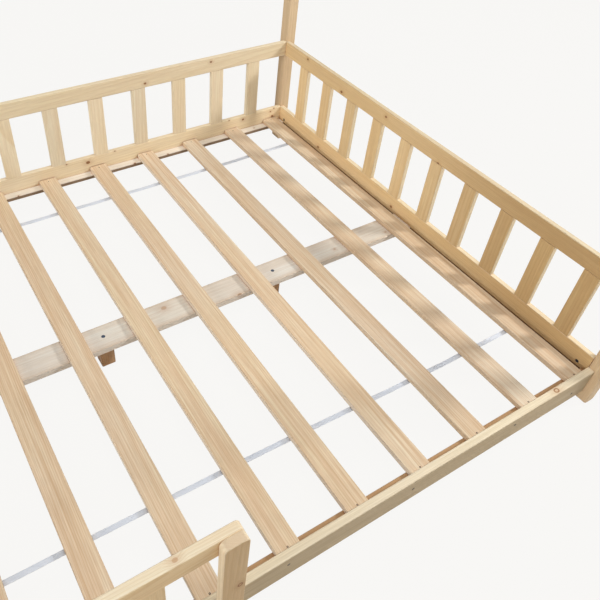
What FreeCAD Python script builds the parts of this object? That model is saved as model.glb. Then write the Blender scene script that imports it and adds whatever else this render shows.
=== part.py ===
import FreeCAD, Part
import math
import os

# House-shaped bed frame, in millimetres. X runs along the bed, Y across it (back is +Y), Z up.
# The origin is on the floor, in the middle of the bed.

# The space for the mattress, and the heights that the rest is hung from.
inner_length = 2020.0
inner_width = 1400.0
slat_top = 107.0

# Corner posts and the roof that they carry.
post_along = 37.0
post_across = 40.0
post_height = 1300.0
roof_pitch = 38.0
beam_depth = 40.0
ridge_depth = 36.0
ridge_width = 37.0
post_edge = 2.5
foot_round = 10.0

# Low rails and fences. The rises are heights above the tops of the slats.
rail_thickness = 15.0
rail_height = 80.0
rail_rise = 37.0
top_rail_height = 50.0
fence_rise = 288.0
front_thickness = 19.0
front_rail_rise = 5.0
front_fence_rise = 256.0
board_edge = 1.2

# Balusters.
baluster_width = 46.0
side_baluster_width = 45.0
baluster_inset = 0.4
side_baluster_count = 10
side_first_gap = 95.0
side_last_gap = 81.0
back_baluster_count = 13
back_end_gap = 107.5
front_baluster_count = 6
front_inset = 0.5
tenon_length = 12.0
tenon_width = 26.0
tenon_thickness = 7.0
tenon_play = 0.1

# The board that closes the open end of the front fence.
end_post_width = 48.0
end_post_thickness = 19.0
end_post_corner = 12.0
entry_width = 1037.0

# Slats, and what they lie on.
slat_count = 12
slat_width = 55.0
slat_thickness = 15.0
first_slat_inset = 48.7
first_slat_bay = 167.4
last_slat_inset = 66.0
slat_gap_back = 3.0
slat_gap_front = 1.0
back_ledger_width = 29.0
back_ledger_height = 12.0
front_ledger_width = 15.0
front_ledger_height = 29.0
strap_width = 14.0
strap_thickness = 1.2
back_strap_from_rail = 171.6
front_strap_from_rail = 208.3
strap_tail = 20.0

# The beam under the middle of the slats, and its legs.
middle_beam_width = 78.0
middle_beam_thickness = 19.0
middle_beam_offset = -6.0
leg_size = 37.0
outer_leg_from_end = 493.4
leg_edge = 2.0

# Stub tenons at the ends of top rails, roof beams and the middle beam, and keys in the roof mitres.
stub_length = 12.0
stub_shoulder = 3.0
beam_stub_length = 8.0
beam_stub_shoulder = 5.0
key_thickness = 12.0
key_width = 24.0
key_length = 30.0
peak_key_width = 20.0
peak_key_depth = 24.0
key_inset = 0.5

# Bolts.
bolt_radius = 3.0
bolt_head_radius = 6.5
bolt_head_height = 3.0
bolt_seat = 4.0
nut_radius = 5.0
nut_length = 12.0
nut_from_end = 30.7
side_bolt_drop = 5.0
leg_bolt_radius = 3.0
leg_bolt_head = 5.0
leg_bolt_head_height = 3.0
leg_bolt_length = 58.0
fit_gap = 0.1

# Values that follow from those above.
half_length = inner_length / 2.0
half_width = inner_width / 2.0
slat_bottom = slat_top - slat_thickness
rail_top = slat_top + rail_rise
rail_bottom = rail_top - rail_height
fence_top = slat_top + fence_rise
fence_top_bottom = fence_top - top_rail_height
front_rail_top = slat_top + front_rail_rise
front_rail_bottom = front_rail_top - rail_height
front_fence_top = slat_top + front_fence_rise
front_top_bottom = front_fence_top - top_rail_height
front_face = -half_width - front_thickness
front_end = half_length - entry_width
end_post_left = front_end - end_post_width
pitch = math.radians(roof_pitch)
outer_y = half_width + post_across
inner_corner = post_height + post_across * math.tan(pitch) - post_across / math.cos(pitch)
ridge_peak = post_height + outer_y * math.tan(pitch)
ridge_soffit = ridge_peak - post_across / math.cos(pitch)
ridge_top = ridge_peak - ridge_width / 2.0 * math.tan(pitch)
side_bolt_z = slat_top - side_bolt_drop
middle_beam_bottom = slat_bottom - middle_beam_thickness
bolt_length = post_across - bolt_seat + nut_from_end - nut_radius

UP = FreeCAD.Vector(0, 0, 1)
DOWN = FreeCAD.Vector(0, 0, -1)
EAST = FreeCAD.Vector(1, 0, 0)
WEST = FreeCAD.Vector(-1, 0, 0)
NORTH = FreeCAD.Vector(0, 1, 0)


def block(x0, x1, y0, y1, z0, z1):
    """A box between two corners, given in any order."""
    low = FreeCAD.Vector(min(x0, x1), min(y0, y1), min(z0, z1))
    return Part.makeBox(abs(x1 - x0), abs(y1 - y0), abs(z1 - z0), low)


def edges_along(shape, direction):
    """The straight edges of a shape that run along a direction."""
    found = []
    for edge in shape.Edges:
        start = edge.Vertexes[0].Point
        end = edge.Vertexes[-1].Point
        run = end.sub(start)
        if run.Length > 1e-6 and run.cross(direction).Length < 1e-6 * run.Length * direction.Length:
            found.append(edge)
    return found


def eased(shape, direction, width):
    """A shape with a small flat taken off the edges that run along a direction."""
    return shape.makeChamfer(width, edges_along(shape, direction))


def board(x0, x1, y0, y1, z0, z1, direction):
    """A straight board with its long edges eased."""
    return eased(block(x0, x1, y0, y1, z0, z1), direction, board_edge)


def section(points, x0, x1):
    """A flat outline in the YZ plane, given depth along X."""
    corners = [FreeCAD.Vector(x0, y, z) for y, z in points]
    wire = Part.makePolygon(corners + [corners[0]])
    return Part.Face(wire).extrude(FreeCAD.Vector(x1 - x0, 0, 0))


def bolt(start, direction, radius, length, head_radius, head_height):
    """A hexagon-headed bolt: its head from start, then its shank."""
    turns = [math.radians(60 * corner) for corner in range(7)]
    points = [FreeCAD.Vector(head_radius * math.cos(turn), head_radius * math.sin(turn), 0) for turn in turns]
    head = Part.Face(Part.makePolygon(points)).extrude(UP * head_height)
    shank = Part.makeCylinder(radius, length, UP * head_height, UP)
    whole = head.fuse(shank)
    whole.Placement = FreeCAD.Placement(start, FreeCAD.Rotation(UP, direction))
    return whole


def rod(start, direction, radius, length):
    """A plain round rod or hole."""
    return Part.makeCylinder(radius, length, start, direction)


def drilled(shape, holes):
    """A shape with holes taken out of it."""
    if not holes:
        return shape
    return shape.cut(Part.makeCompound(holes)) if len(holes) > 1 else shape.cut(holes[0])


def many(solids):
    """Several separate solids as one node."""
    return Part.makeCompound(solids)


def slat_centres():
    """Where the slats lie along the bed, from the right-hand end."""
    first = half_length - first_slat_inset
    second = first - first_slat_bay
    last = -half_length + last_slat_inset
    step = (second - last) / (slat_count - 2)
    return [first] + [second - step * index for index in range(slat_count - 1)]


def spread(count, start, step):
    """Evenly stepped positions."""
    return [start + step * index for index in range(count)]


def back_baluster_centres():
    first = -half_length + back_end_gap + baluster_width / 2.0
    return spread(back_baluster_count, first, -2.0 * first / (back_baluster_count - 1))


def side_baluster_centres():
    first = half_width - side_first_gap - side_baluster_width / 2.0
    last = -half_width + side_last_gap + side_baluster_width / 2.0
    return spread(side_baluster_count, first, (last - first) / (side_baluster_count - 1))


def front_baluster_centres():
    span = end_post_left + half_length
    gap = (span - front_baluster_count * baluster_width) / (front_baluster_count + 1)
    first = -half_length + gap + baluster_width / 2.0
    return spread(front_baluster_count, first, gap + baluster_width)


def leg_centres():
    return [half_length - outer_leg_from_end, 0.0, -half_length + outer_leg_from_end]


def bolt_places():
    """Seat, direction and nut centre of every joint bolt: the side low rails hang from these."""
    places = []
    for side in (1, -1):
        x = side * (half_length + rail_thickness / 2.0)
        for end in (1, -1):
            seat = FreeCAD.Vector(x, end * (outer_y - bolt_seat), side_bolt_z)
            nut = FreeCAD.Vector(x, end * (half_width - nut_from_end), side_bolt_z)
            places.append((seat, FreeCAD.Vector(0, -end, 0), nut))
    return places


def bolt_holes():
    """Clearance for the joint bolts and their sunk heads."""
    holes = []
    for seat, direction, nut in bolt_places():
        holes.append(rod(seat, direction, bolt_radius + fit_gap, bolt_length))
        holes.append(rod(seat, direction.negative(), bolt_head_radius + fit_gap, bolt_seat + 1.0))
    return holes


def nut_holes():
    """Blind holes for the barrel nuts, open on the inner faces of the side low rails."""
    holes = []
    for seat, direction, nut in bolt_places():
        outward = EAST if nut.x > 0 else WEST
        mouth = FreeCAD.Vector(math.copysign(half_length - 1.0, nut.x), nut.y, nut.z)
        depth = abs(nut.x) - half_length + nut_length / 2.0 + 1.0
        holes.append(rod(mouth, outward, nut_radius + fit_gap, depth))
    return holes


def stub(x, side, y0, y1, z0, z1, length, extra):
    """A stub tenon that points along X, or its mortise when extra is more than zero."""
    far = x + side * (length + extra)
    return block(x, far, min(y0, y1) - extra, max(y0, y1) + extra, z0 - extra, z1 + extra)


def cross_stub(y, end, x0, x1, z0, z1, length, extra):
    """The same, for a tenon that points along Y."""
    far = y + end * (length + extra)
    return block(min(x0, x1) - extra, max(x0, x1) + extra, y, far, z0 - extra, z1 + extra)


def rail_stub(line, thickness, side, z0, z1, extra):
    """A tenon on the end of a rail that runs along the bed. Line is its outer face."""
    inner = line - math.copysign(thickness, line)
    low = inner + math.copysign(stub_shoulder, line)
    high = line - math.copysign(stub_shoulder, line)
    return stub(side * half_length, side, low, high, z0, z1, stub_length, extra)


def side_rail_stub(side, end, extra):
    """A tenon on the end of a side's top rail, in the lower half of its height."""
    low = side * (half_length + stub_shoulder)
    high = side * (half_length + rail_thickness - stub_shoulder)
    z0 = fence_top_bottom + stub_shoulder
    z1 = fence_top_bottom + top_rail_height / 2.0 - stub_shoulder
    return cross_stub(end * half_width, end, low, high, z0, z1, stub_length, extra)


def back_rail_stub(side, extra):
    """A tenon on the end of the back top rail, in the upper half of its height."""
    z0 = fence_top_bottom + top_rail_height / 2.0 + stub_shoulder
    return rail_stub(half_width + rail_thickness, rail_thickness, side, z0, fence_top - stub_shoulder, extra)


def back_low_stub(side, extra):
    """A tenon on the end of the back low rail, above the joint bolt."""
    z0 = side_bolt_z + bolt_head_radius
    return rail_stub(half_width + rail_thickness, rail_thickness, side, z0, rail_top - stub_shoulder, extra)


def front_low_stub(side, extra):
    """A tenon on the end of the front low rail, below the joint bolt."""
    z1 = side_bolt_z - bolt_head_radius
    return rail_stub(front_face, front_thickness, side, front_rail_bottom + stub_shoulder, z1, extra)


def front_rail_stub(extra):
    """The tenon on the front top rail's left-hand end, in the lower half of its height."""
    z0 = front_top_bottom + stub_shoulder
    z1 = front_top_bottom + top_rail_height / 2.0
    return rail_stub(front_face, front_thickness, -1, z0, z1, extra)


def eave_stub(side, end, extra):
    inset = beam_depth / 4.0
    y0 = end * (half_width + post_across / 4.0)
    y1 = end * (outer_y - post_across / 4.0)
    z0 = inner_corner - beam_depth + inset
    return stub(side * half_length, side, y0, y1, z0, inner_corner - inset, stub_length, extra)


def ridge_stub(side, extra):
    quarter = ridge_width / 4.0
    z0 = ridge_top - ridge_depth + ridge_depth / 4.0
    z1 = ridge_top - ridge_depth / 4.0
    return stub(side * half_length, side, -quarter, quarter, z0, z1, stub_length, extra)


def beam_stub(side, extra):
    half = middle_beam_width / 2.0 - beam_stub_shoulder
    y0 = middle_beam_offset - half
    y1 = middle_beam_offset + half
    z0 = middle_beam_bottom + beam_stub_shoulder
    z1 = slat_bottom - beam_stub_shoulder
    return stub(side * half_length, side, y0, y1, z0, z1, beam_stub_length, extra)


def mitre_key(side, end, extra):
    """The loose key across the mitre between a post and its rafter."""
    along = key_length / 2.0 - (0 if extra else key_inset)
    x0 = -key_thickness / 2.0 - extra
    key = block(x0, -x0, -key_width / 2.0 - extra, key_width / 2.0 + extra, -along, along)
    lean = math.atan2(post_height - inner_corner, post_across)
    turn = FreeCAD.Rotation(EAST, math.degrees(lean) * end)
    x = side * (half_length + post_along / 2.0)
    middle = FreeCAD.Vector(x, end * (outer_y - post_across / 2.0), (post_height + inner_corner) / 2.0)
    key.Placement = FreeCAD.Placement(middle, turn)
    return key


def peak_key(side, extra):
    """The loose key between two rafters at the peak."""
    along = key_length / 2.0 - (0 if extra else key_inset)
    x = side * (half_length + post_along / 2.0)
    half = key_thickness / 2.0 + extra
    low = ridge_peak - peak_key_depth - peak_key_width / 2.0 - extra
    high = ridge_peak - peak_key_depth + peak_key_width / 2.0 + extra
    return block(x - half, x + half, -along, along, low, high)


def post_cuts():
    """Every mortise and key slot that a post may need."""
    cuts = [front_rail_stub(tenon_play)]
    for side in (1, -1):
        cuts.append(back_rail_stub(side, tenon_play))
        cuts.append(back_low_stub(side, tenon_play))
        cuts.append(front_low_stub(side, tenon_play))
        for end in (1, -1):
            cuts.append(side_rail_stub(side, end, tenon_play))
            cuts.append(eave_stub(side, end, tenon_play))
            cuts.append(mitre_key(side, end, tenon_play))
    return cuts


def rafter_cuts():
    """Every mortise and key slot that a rafter may need."""
    cuts = []
    for side in (1, -1):
        cuts.append(ridge_stub(side, tenon_play))
        cuts.append(peak_key(side, tenon_play))
        for end in (1, -1):
            cuts.append(mitre_key(side, end, tenon_play))
    return cuts


def near(holes, shape):
    """The holes whose boxes meet a shape's box."""
    return [hole for hole in holes if hole.BoundBox.intersect(shape.BoundBox)]


def corner_post(side, end):
    """A corner post: foot rounded at its two sides, top cut to meet the rafter."""
    inner = end * half_width
    outer = end * outer_y
    points = [(inner, 0), (outer, 0), (outer, post_height), (inner, inner_corner)]
    x0 = side * half_length
    x1 = side * (half_length + post_along)
    post = section(points, x0, x1)
    foot = [edge for edge in edges_along(post, NORTH) if edge.BoundBox.ZMax < 1e-6]
    post = eased(post.makeFillet(foot_round, foot), UP, post_edge)
    return drilled(post, near(bolt_holes() + post_cuts(), post))


def rafter(side, end):
    """A sloping roof member from a post to the peak."""
    inner = end * half_width
    outer = end * outer_y
    points = [(inner, inner_corner), (outer, post_height), (0, ridge_peak), (0, ridge_soffit)]
    x0 = side * half_length
    x1 = side * (half_length + post_along)
    slope = FreeCAD.Vector(0, -end * math.cos(pitch), math.sin(pitch))
    shape = eased(section(points, x0, x1), slope, post_edge)
    return drilled(shape, near(rafter_cuts(), shape))


def eave_beam(end):
    """A beam along the bed between the tops of two posts."""
    y0 = end * half_width
    y1 = end * outer_y
    shape = block(-half_length, half_length, y0, y1, inner_corner - beam_depth, inner_corner)
    shape = eased(shape, EAST, post_edge)
    return shape.fuse([eave_stub(1, end, 0), eave_stub(-1, end, 0)])


def ridge_beam():
    half = ridge_width / 2.0
    shape = block(-half_length, half_length, -half, half, ridge_top - ridge_depth, ridge_top)
    shape = eased(shape, EAST, post_edge)
    return shape.fuse([ridge_stub(1, 0), ridge_stub(-1, 0)])


def tenon(x, y, z, along_x, extra):
    """A tenon, or its mortise when extra is more than zero, from z upwards."""
    long_half = tenon_width / 2.0 + extra
    short_half = tenon_thickness / 2.0 + extra
    dx = long_half if along_x else short_half
    dy = short_half if along_x else long_half
    return block(x - dx, x + dx, y - dy, y + dy, z, z + tenon_length + extra)


def mortises(centres, fixed, low, high, along_x):
    """Mortises in a low rail's top edge and in a top rail's lower edge."""
    cuts = []
    for centre in centres:
        x = centre if along_x else fixed
        y = fixed if along_x else centre
        cuts.append(tenon(x, y, low - tenon_length - tenon_play, along_x, tenon_play))
        cuts.append(tenon(x, y, high, along_x, tenon_play))
    return cuts


def baluster(centre, fixed, width, thickness, tenon_line, low, high, along_x):
    """An upright between two rails, with a tenon at each end."""
    half = width / 2.0
    if along_x:
        body = board(centre - half, centre + half, fixed, fixed + thickness, low, high, UP)
        pegs = [tenon(centre, tenon_line, z, True, 0) for z in (low - tenon_length, high)]
    else:
        body = board(fixed, fixed + thickness, centre - half, centre + half, low, high, UP)
        pegs = [tenon(tenon_line, centre, z, False, 0) for z in (low - tenon_length, high)]
    return body.fuse(pegs).removeSplitter()


def back_balusters():
    line = half_width + rail_thickness / 2.0
    deep = rail_thickness - baluster_inset
    made = []
    for x in back_baluster_centres():
        y = half_width + baluster_inset
        made.append(baluster(x, y, baluster_width, deep, line, rail_top, fence_top_bottom, True))
    return many(made)


def side_balusters(side):
    line = side * (half_length + rail_thickness / 2.0)
    deep = rail_thickness - baluster_inset
    face = half_length + baluster_inset if side > 0 else -half_length - rail_thickness
    made = []
    for y in side_baluster_centres():
        made.append(baluster(y, face, side_baluster_width, deep, line, rail_top, fence_top_bottom, False))
    return many(made)


def front_baluster(x):
    line = -half_width - front_thickness / 2.0
    deep = front_thickness - 2.0 * front_inset
    y = front_face + front_inset
    return baluster(x, y, baluster_width, deep, line, front_rail_top, front_top_bottom, True)


def back_mortises():
    line = half_width + rail_thickness / 2.0
    return mortises(back_baluster_centres(), line, rail_top, fence_top_bottom, True)


def side_mortises(side):
    line = side * (half_length + rail_thickness / 2.0)
    return mortises(side_baluster_centres(), line, rail_top, fence_top_bottom, False)


def front_mortises():
    line = -half_width - front_thickness / 2.0
    return mortises(front_baluster_centres(), line, front_rail_top, front_top_bottom, True)


def back_low_rail():
    y1 = half_width + rail_thickness
    shape = board(-half_length, half_length, half_width, y1, rail_bottom, rail_top, EAST)
    shape = drilled(shape, near(back_mortises(), shape))
    return shape.fuse([back_low_stub(1, 0), back_low_stub(-1, 0)])


def back_top_rail():
    y1 = half_width + rail_thickness
    shape = board(-half_length, half_length, half_width, y1, fence_top_bottom, fence_top, EAST)
    shape = drilled(shape, near(back_mortises(), shape))
    return shape.fuse([back_rail_stub(1, 0), back_rail_stub(-1, 0)])


def side_low_rail(side):
    x0 = side * half_length
    x1 = side * (half_length + rail_thickness)
    shape = board(x0, x1, -half_width, half_width, rail_bottom, rail_top, NORTH)
    cuts = bolt_holes() + nut_holes() + side_mortises(side) + [beam_stub(side, tenon_play)]
    return drilled(shape, near(cuts, shape))


def side_top_rail(side):
    x0 = side * half_length
    x1 = side * (half_length + rail_thickness)
    shape = board(x0, x1, -half_width, half_width, fence_top_bottom, fence_top, NORTH)
    shape = drilled(shape, near(side_mortises(side), shape))
    return shape.fuse([side_rail_stub(side, 1, 0), side_rail_stub(side, -1, 0)])


def front_low_rail():
    shape = board(-half_length, half_length, front_face, -half_width, front_rail_bottom, front_rail_top, EAST)
    shape = drilled(shape, near(front_mortises(), shape))
    return shape.fuse([front_low_stub(1, 0), front_low_stub(-1, 0)])


def front_top_rail():
    """The front fence's top rail, with its free end's upper corner rounded."""
    shape = block(-half_length, front_end, front_face, -half_width, front_top_bottom, front_fence_top)
    corner = [edge for edge in edges_along(shape, NORTH) if edge.BoundBox.XMin > front_end - 1.0]
    corner = [edge for edge in corner if edge.BoundBox.ZMin > front_fence_top - 1.0]
    shape = eased(shape.makeFillet(end_post_corner, corner), EAST, board_edge)
    shape = drilled(shape, near(front_mortises(), shape))
    return shape.fuse(front_rail_stub(0))


def fence_end_post():
    """The upright board outside the front rails, with both upper corners rounded."""
    y0 = front_face - end_post_thickness
    shape = block(end_post_left, front_end, y0, front_face, front_rail_bottom, front_fence_top)
    corner = [edge for edge in edges_along(shape, NORTH) if edge.BoundBox.ZMin > front_fence_top - 1.0]
    return eased(shape.makeFillet(end_post_corner, corner), UP, board_edge)


def back_ledger():
    y0 = half_width - back_ledger_width
    z0 = slat_bottom - back_ledger_height
    return board(-half_length, half_length, y0, half_width, z0, slat_bottom, EAST)


def front_ledger():
    y1 = -half_width + front_ledger_width
    z0 = slat_bottom - front_ledger_height
    return board(-half_length, half_length, -half_width, y1, z0, slat_bottom, EAST)


def slat(centre):
    half = slat_width / 2.0
    y0 = -half_width + slat_gap_front
    y1 = half_width - slat_gap_back
    return board(centre - half, centre + half, y0, y1, slat_bottom, slat_top, NORTH)


def strap(y):
    """Webbing along the undersides of the slats."""
    centres = slat_centres()
    half = strap_width / 2.0
    low = slat_bottom - strap_thickness
    return block(centres[-1] - strap_tail, centres[0] + strap_tail, y - half, y + half, low, slat_bottom)


def leg_bolt(x, extra):
    """A countersunk bolt through the beam into a leg, or with extra its hole."""
    start = FreeCAD.Vector(x, middle_beam_offset, slat_bottom)
    narrow = leg_bolt_radius + extra
    head = Part.makeCone(leg_bolt_head + extra, narrow, leg_bolt_head_height, start, DOWN)
    return head.fuse(rod(start, DOWN, narrow, leg_bolt_length + extra))


def middle_beam():
    half = middle_beam_width / 2.0
    y0 = middle_beam_offset - half
    y1 = middle_beam_offset + half
    shape = board(-half_length, half_length, y0, y1, middle_beam_bottom, slat_bottom, EAST)
    shape = drilled(shape, [leg_bolt(x, fit_gap) for x in leg_centres()])
    return shape.fuse([beam_stub(1, 0), beam_stub(-1, 0)])


def leg(x):
    half = leg_size / 2.0
    y0 = middle_beam_offset - half
    y1 = middle_beam_offset + half
    shape = eased(block(x - half, x + half, y0, y1, 0, middle_beam_bottom), UP, leg_edge)
    return drilled(shape, [leg_bolt(x, fit_gap)])


def joint_bolts():
    made = []
    for seat, direction, nut in bolt_places():
        outer = seat.sub(direction * bolt_head_height)
        made.append(bolt(outer, direction, bolt_radius, bolt_length, bolt_head_radius, bolt_head_height))
    return many(made)


def barrel_nuts():
    made = []
    for seat, direction, nut in bolt_places():
        start = nut.sub(EAST * (nut_length / 2.0))
        made.append(rod(start, EAST, nut_radius, nut_length))
    return many(made)


def roof_keys():
    made = []
    for side in (1, -1):
        made.append(peak_key(side, 0))
        for end in (1, -1):
            made.append(mitre_key(side, end, 0))
    return many(made)


def all_nodes():
    """Every node of the bed, by name."""
    nodes = {}
    for side_name, side in (("right", 1), ("left", -1)):
        for end_name, end in (("back", 1), ("front", -1)):
            nodes["post_" + end_name + "_" + side_name] = corner_post(side, end)
            nodes["rafter_" + end_name + "_" + side_name] = rafter(side, end)
        nodes[side_name + "_low_rail"] = side_low_rail(side)
        nodes[side_name + "_top_rail"] = side_top_rail(side)
        nodes[side_name + "_balusters"] = side_balusters(side)
    nodes["eave_beam_back"] = eave_beam(1)
    nodes["eave_beam_front"] = eave_beam(-1)
    nodes["ridge_beam"] = ridge_beam()
    nodes["back_low_rail"] = back_low_rail()
    nodes["back_top_rail"] = back_top_rail()
    nodes["back_balusters"] = back_balusters()
    nodes["front_low_rail"] = front_low_rail()
    nodes["front_top_rail"] = front_top_rail()
    for number, x in enumerate(front_baluster_centres(), 1):
        nodes["front_baluster_%d" % number] = front_baluster(x)
    nodes["front_fence_end_post"] = fence_end_post()
    nodes["back_ledger"] = back_ledger()
    nodes["front_ledger"] = front_ledger()
    for number, centre in enumerate(slat_centres(), 1):
        nodes["slat_%02d" % number] = slat(centre)
    nodes["strap_back"] = strap(half_width - back_strap_from_rail)
    nodes["strap_front"] = strap(-half_width + front_strap_from_rail)
    nodes["middle_beam"] = middle_beam()
    for leg_name, x in zip(("right", "middle", "left"), leg_centres()):
        nodes["leg_" + leg_name] = leg(x)
    nodes["joint_bolts"] = joint_bolts()
    nodes["barrel_nuts"] = barrel_nuts()
    nodes["roof_keys"] = roof_keys()
    nodes["leg_bolts"] = many([leg_bolt(x, 0) for x in leg_centres()])
    return nodes


os.makedirs("parts", exist_ok=True)
for name, shape in all_nodes().items():
    shape.exportStep("parts/" + name + ".step")
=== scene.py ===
import math
import random

import bmesh
import bpy
from mathutils import Matrix, Vector


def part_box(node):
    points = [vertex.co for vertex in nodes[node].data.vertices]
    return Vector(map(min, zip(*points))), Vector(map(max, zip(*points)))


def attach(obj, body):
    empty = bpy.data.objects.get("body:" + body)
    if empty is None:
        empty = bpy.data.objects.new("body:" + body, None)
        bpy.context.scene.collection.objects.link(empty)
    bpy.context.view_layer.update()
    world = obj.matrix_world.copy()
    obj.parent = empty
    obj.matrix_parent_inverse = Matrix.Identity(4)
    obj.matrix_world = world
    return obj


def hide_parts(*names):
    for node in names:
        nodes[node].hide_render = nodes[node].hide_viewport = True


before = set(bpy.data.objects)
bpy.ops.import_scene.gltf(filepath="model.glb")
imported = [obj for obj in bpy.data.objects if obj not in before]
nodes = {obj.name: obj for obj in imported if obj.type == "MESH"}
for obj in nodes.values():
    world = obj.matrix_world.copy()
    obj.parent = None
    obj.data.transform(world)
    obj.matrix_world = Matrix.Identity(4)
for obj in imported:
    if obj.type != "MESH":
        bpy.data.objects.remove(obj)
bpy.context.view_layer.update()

MM = 0.001

# ---------------------------------------------------------------- camera

# Solved from the straight edges in the photograph: metres, degrees, and millimetres on the sensor.
# The shifts are shares of the picture's width.
CAMERA_AT = (-0.31475, -1.09667, 1.35641)
CAMERA_AZIMUTH = -33.684
CAMERA_DOWN = 43.275
CAMERA_ROLL = 3.551
CAMERA_LENS = 38.94
CAMERA_SHIFT = (0.0969, -0.0420)
SENSOR_WIDTH = 36.0
CLIP_START, CLIP_END = 0.05, 60.0


def make_camera():
    data = bpy.data.cameras.new("camera")
    data.sensor_width = SENSOR_WIDTH
    data.lens = CAMERA_LENS
    data.shift_x, data.shift_y = CAMERA_SHIFT
    data.clip_start = CLIP_START
    data.clip_end = CLIP_END
    camera = bpy.data.objects.new("camera", data)
    bpy.context.collection.objects.link(camera)
    turn = (
        Matrix.Rotation(math.radians(CAMERA_AZIMUTH), 4, "Z")
        @ Matrix.Rotation(math.radians(90.0 - CAMERA_DOWN), 4, "X")
        @ Matrix.Rotation(math.radians(CAMERA_ROLL), 4, "Z")
    )
    camera.matrix_world = Matrix.Translation(CAMERA_AT) @ turn
    bpy.context.scene.camera = camera


# ---------------------------------------------------------------- node helpers


def linear(rgb):
    """An sRGB colour of 0 to 255 as linear RGBA."""
    out = []
    for value in rgb:
        c = value / 255.0
        out.append(c / 12.92 if c <= 0.04045 else ((c + 0.055) / 1.055) ** 2.4)
    return tuple(out) + (1.0,)


CONTACT_SAMPLES = 6


class Tree:
    """Short calls for building a node tree."""

    def __init__(self, tree):
        self.tree = tree

    def node(self, kind, **settings):
        made = self.tree.nodes.new(kind)
        for key, value in settings.items():
            setattr(made, key, value)
        return made

    def put(self, socket, value):
        if isinstance(value, bpy.types.NodeSocket):
            self.tree.links.new(value, socket)
        elif value is not None:
            socket.default_value = value

    def math(self, operation, *values, clamp=False):
        made = self.node("ShaderNodeMath", operation=operation, use_clamp=clamp)
        for socket, value in zip(made.inputs, values):
            self.put(socket, value)
        return made.outputs[0]

    def vector(self, operation, *values):
        made = self.node("ShaderNodeVectorMath", operation=operation)
        for socket, value in zip(made.inputs, values):
            self.put(socket, value)
        scalar = operation in ("LENGTH", "DISTANCE", "DOT_PRODUCT")
        return made.outputs["Value" if scalar else "Vector"]

    def scaled(self, value, factor):
        made = self.node("ShaderNodeVectorMath", operation="SCALE")
        self.put(made.inputs[0], value)
        self.put(made.inputs["Scale"], factor)
        return made.outputs["Vector"]

    def ramp(self, value, low, high, to_low=0.0, to_high=1.0, smooth=True):
        made = self.node("ShaderNodeMapRange", clamp=True)
        made.interpolation_type = "SMOOTHSTEP" if smooth else "LINEAR"
        for name, number in zip(
            ("Value", "From Min", "From Max", "To Min", "To Max"),
            (value, low, high, to_low, to_high),
        ):
            self.put(made.inputs[name], number)
        return made.outputs["Result"]

    def noise(self, position, scale, detail=2.0, rough=0.5):
        made = self.node("ShaderNodeTexNoise")
        self.put(made.inputs["Vector"], position)
        made.inputs["Scale"].default_value = scale
        made.inputs["Detail"].default_value = detail
        made.inputs["Roughness"].default_value = rough
        return made.outputs

    def mix(self, factor, a, b, blend="MIX"):
        made = self.node("ShaderNodeMix", data_type="RGBA", blend_type=blend)
        self.put(made.inputs["Factor"], factor)
        self.put(made.inputs[6], a)
        self.put(made.inputs[7], b)
        return made.outputs[2]

    def split(self, vector):
        made = self.node("ShaderNodeSeparateXYZ")
        self.put(made.inputs[0], vector)
        return made.outputs

    def join(self, x, y, z):
        made = self.node("ShaderNodeCombineXYZ")
        for socket, value in zip(made.inputs, (x, y, z)):
            self.put(socket, value)
        return made.outputs[0]

    def times(self, value, factor):
        return self.math("MULTIPLY", value, factor)

    def scaled_noise(self, position, scales, detail, rough=0.5):
        """Noise with a scale of its own along each axis of the position."""
        return self.noise(self.vector("MULTIPLY", position, scales), 1.0, detail, rough)

    def openness(self, distance):
        """1 in the open, and less where something stands within the distance."""
        made = self.node("ShaderNodeAmbientOcclusion", samples=CONTACT_SAMPLES)
        made.inputs["Distance"].default_value = distance
        return made.outputs["AO"]

    def seen_directly(self):
        """1 for what the camera sees, also in gloss and through glass, and 0 for light that falls."""
        path = self.node("ShaderNodeLightPath")
        seen = self.math("MAXIMUM", path.outputs["Is Camera Ray"], path.outputs["Is Glossy Ray"])
        return self.math("MAXIMUM", seen, path.outputs["Is Transmission Ray"])

    def bump(self, shader, height, strength, distance, normal=None):
        made = self.node("ShaderNodeBump")
        made.inputs["Strength"].default_value = strength
        made.inputs["Distance"].default_value = distance
        self.put(made.inputs["Height"], height)
        self.put(made.inputs["Normal"], normal)
        self.put(shader.inputs["Normal"], made.outputs["Normal"])


def new_material(name):
    material = bpy.data.materials.new(name)
    material.use_nodes = True
    tree = Tree(material.node_tree)
    shader = material.node_tree.nodes["Principled BSDF"]
    return material, tree, shader


# ---------------------------------------------------------------- pine

# Metres.
RING_SPACING = 0.0046
WARP_SIZE = 0.007
KNOT_PUSH = 0.006

GRAIN_TILT = 0.022
GROWTH_SCALE = 60.0
GROWTH_SPREAD = 2.4

# Late wood darkens with this power of the place in its ring, and ends sharply after LATE_END.
LATE_POWER = 2.2
LATE_END = 0.90

# How ring strength varies: noise scales from ring to ring and along the grain, and its range.
RING_VARY_SCALES = (0.37, 0.9)
RING_STRENGTHS = (0.45, 1.15)

# Cells that may each hold a knot, per metre of length and per radian round the pith. A knot's size
# is in cells, and its edge and halo run from nothing to full at these shares of its size.
KNOT_CELLS = (6.0, 0.32)
KNOT_CELL_SIZES = (0.010, 0.030)
KNOT_EDGE = (1.0, 0.72)
KNOT_HALO = (3.2, 0.8)

# Noise scales per metre: along the grain, and twice across it.
WANDER_SCALES = (1.6, 7.0, 7.0)
STREAK_SCALES = (5.0, 190.0, 190.0)
BAND_SCALES = (1.1, 75.0, 75.0)
FIBRE_SCALES = (38.0, 1100.0, 1100.0)
MOTTLE_SCALES = (3.2, 17.0, 17.0)
WARMTH_SCALES = (1.3, 5.0, 5.0)


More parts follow.
